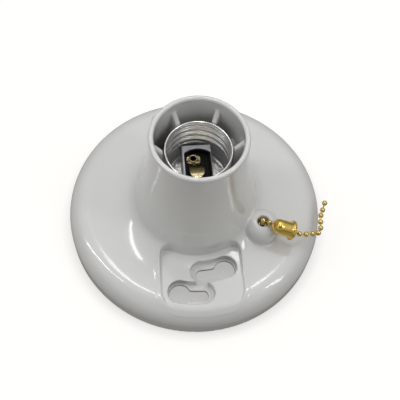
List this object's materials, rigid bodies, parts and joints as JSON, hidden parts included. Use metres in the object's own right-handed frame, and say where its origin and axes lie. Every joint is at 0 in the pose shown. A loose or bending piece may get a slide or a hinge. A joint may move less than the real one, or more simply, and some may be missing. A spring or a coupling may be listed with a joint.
{
  "type": "pull-chain ceiling lampholder",
  "caption": "Round white ceiling lampholder with a screw socket in a flared neck, keyhole mounting pads and a brass bead pull chain that works a ratchet switch.",
  "frame": {"origin": "centre of the mounting face at the back of the round canopy", "axes": "+Z along the lamp socket axis away from the ceiling; -Y through the middle of one keyhole pad; the chain boss lies 32 degrees from +X toward -Y"},
  "size_m": [0.1161, 0.1142, 0.066],
  "materials": {
    "white_urea": "glossy moulded thermoset",
    "shell_aluminium": "bright rolled sheet",
    "carrier_white": "satin moulded thermoset",
    "rivet_aluminium": "satin",
    "black_phenolic": "moulded phenolic",
    "contact_brass": "spring brass strip",
    "plated_steel": "zinc plated",
    "spring_steel": "bright wire and strip",
    "switch_phenolic": "moulded phenolic",
    "brown_phenolic": "moulded phenolic",
    "vulcanised_fibre": "pressed fibre sheet",
    "white_insulation": "wire insulation",
    "black_insulation": "wire insulation",
    "red_insulation": "wire insulation",
    "dark_brass": "aged turned brass",
    "chain_brass": "polished brass",
    "bell_brass": "polished spun brass"
  },
  "bodies": {
    "fixture": {"canopy": "white_urea", "screw_shell": "shell_aluminium", "socket_carrier": "carrier_white", "shell_rivets": "rivet_aluminium", "contact_insulator": "black_phenolic", "contact_plate": "contact_brass", "contact_eyelet": "contact_brass", "carrier_screws": "plated_steel", "switch_housing": "switch_phenolic", "switch_cover": "switch_phenolic", "switch_rivets": "rivet_aluminium", "switch_axle": "plated_steel", "hold_pawl": "spring_steel", "line_contact": "contact_brass", "load_contact": "contact_brass", "return_spring": "spring_steel", "switch_screws": "plated_steel", "back_plate": "vulcanised_fibre", "back_plate_screws": "plated_steel", "neutral_terminal": "plated_steel", "line_terminal": "contact_brass", "neutral_screw": "plated_steel", "line_screw": "contact_brass", "neutral_lead": "white_insulation", "line_lead": "black_insulation", "switched_lead": "red_insulation", "chain_bushing": "dark_brass"},
    "pull_chain": {"inner_chain": "chain_brass"},
    "lever": {"pull_lever": "plated_steel", "drive_pawl": "spring_steel"},
    "ratchet": {"ratchet_wheel": "brown_phenolic", "contact_drum": "brown_phenolic", "drum_bridge": "contact_brass"},
    "contact_spring": {"contact_tongue": "contact_brass"},
    "first_link": {"first_bead": "chain_brass"},
    "bell": {"chain_bell": "bell_brass", "bell_coupling": "chain_brass"},
    "tail_01": {"tail_bead_01": "chain_brass"},
    "tail_02": {"tail_bead_02": "chain_brass"},
    "tail_03": {"tail_bead_03": "chain_brass"},
    "tail_04": {"tail_bead_04": "chain_brass"},
    "tail_05": {"tail_bead_05": "chain_brass"},
    "tail_06": {"tail_bead_06": "chain_brass"},
    "tail_07": {"tail_bead_07": "chain_brass"},
    "tail_08": {"tail_bead_08": "chain_brass"},
    "tail_09": {"tail_bead_09": "chain_brass"},
    "tail_10": {"tail_bead_10": "chain_brass"}
  },
  "joints": [
    {"name": "chain_pull", "type": "slide", "parent": "fixture", "child": "pull_chain", "axis": [0, 0, 1], "range_m": [0, 0.00865], "stiffness_N_per_m": 300, "springref_m": -0.003, "deforming": ["return_spring"]},
    {"name": "lever_swing", "type": "hinge", "parent": "fixture", "child": "lever", "pos_m": [0.01849, -0.01155, 0.01117], "axis": [-0.5299, -0.848, 0], "range_deg": [0, 45.2]},
    {"name": "ratchet_turn", "type": "hinge", "parent": "fixture", "child": "ratchet", "pos_m": [0.01849, -0.01155, 0.01117], "axis": [-0.5299, -0.848, 0], "range_deg": [0, 45.2]},
    {"name": "contact_flex", "type": "hinge", "parent": "fixture", "child": "contact_spring", "pos_m": [-0.0003, 0.003, 0.04055], "axis": [1, 0, 0], "range_deg": [0, 10], "stiffness_Nm_per_rad": 0.002},
    {"name": "first_link", "type": "hinge", "parent": "pull_chain", "child": "first_link", "pos_m": [0.02773, -0.01733, 0.0242], "axis": [-0.5878, -0.809, 0], "range_deg": [0, 50]},
    {"name": "bell_swing", "type": "hinge", "parent": "first_link", "child": "bell", "pos_m": [0.03017, -0.0191, 0.02542], "axis": [-0.9272, -0.3746, 0], "range_deg": [0, 45]},
    {"name": "tail_01_bend", "type": "hinge", "parent": "bell", "child": "tail_01", "pos_m": [0.03829, -0.02223, 0.02404], "axis": [0, -1, 0], "range_deg": [0, 20]},
    {"name": "tail_02_bend", "type": "hinge", "parent": "tail_01", "child": "tail_02", "pos_m": [0.04042, -0.02223, 0.02159], "axis": [0, 0, 1], "range_deg": [-25, 0]},
    {"name": "tail_03_bend", "type": "hinge", "parent": "tail_02", "child": "tail_03", "pos_m": [0.04331, -0.02279, 0.02022], "axis": [0.0175, -0.9998, 0], "range_deg": [0, 20]},
    {"name": "tail_04_bend", "type": "hinge", "parent": "tail_03", "child": "tail_04", "pos_m": [0.04642, -0.02274, 0.01927], "axis": [0, 0, 1], "range_deg": [-25, 0]},
    {"name": "tail_05_bend", "type": "hinge", "parent": "tail_04", "child": "tail_05", "pos_m": [0.04955, -0.02235, 0.01848], "axis": [0.2924, -0.9563, 0], "range_deg": [0, 10]},
    {"name": "tail_06_bend", "type": "hinge", "parent": "tail_05", "child": "tail_06", "pos_m": [0.05243, -0.02147, 0.01726], "axis": [0, 0, 1], "range_deg": [-25, 0]},
    {"name": "tail_07_bend", "type": "hinge", "parent": "tail_06", "child": "tail_07", "pos_m": [0.0541, -0.01881, 0.01642], "axis": [0.9816, -0.1908, 0], "range_deg": [0, 10]},
    {"name": "tail_08_bend", "type": "hinge", "parent": "tail_07", "child": "tail_08", "pos_m": [0.05471, -0.01565, 0.01597], "axis": [0, 0, 1], "range_deg": [-25, 5]},
    {"name": "tail_09_bend", "type": "hinge", "parent": "tail_08", "child": "tail_09", "pos_m": [0.05533, -0.01246, 0.01603], "axis": [0.8988, -0.4384, 0], "range_deg": [-25, 10]},
    {"name": "tail_10_bend", "type": "hinge", "parent": "tail_09", "child": "tail_10", "pos_m": [0.05674, -0.00958, 0.01552], "axis": [0, 0, 1], "range_deg": [-25, 15]}
  ],
  "couplings": [
    {"joint": "lever_swing", "follows": "chain_pull", "rad_per_m": 90.797},
    {"joint": "ratchet_turn", "follows": "chain_pull", "rad_per_m": 90.797}
  ]
}
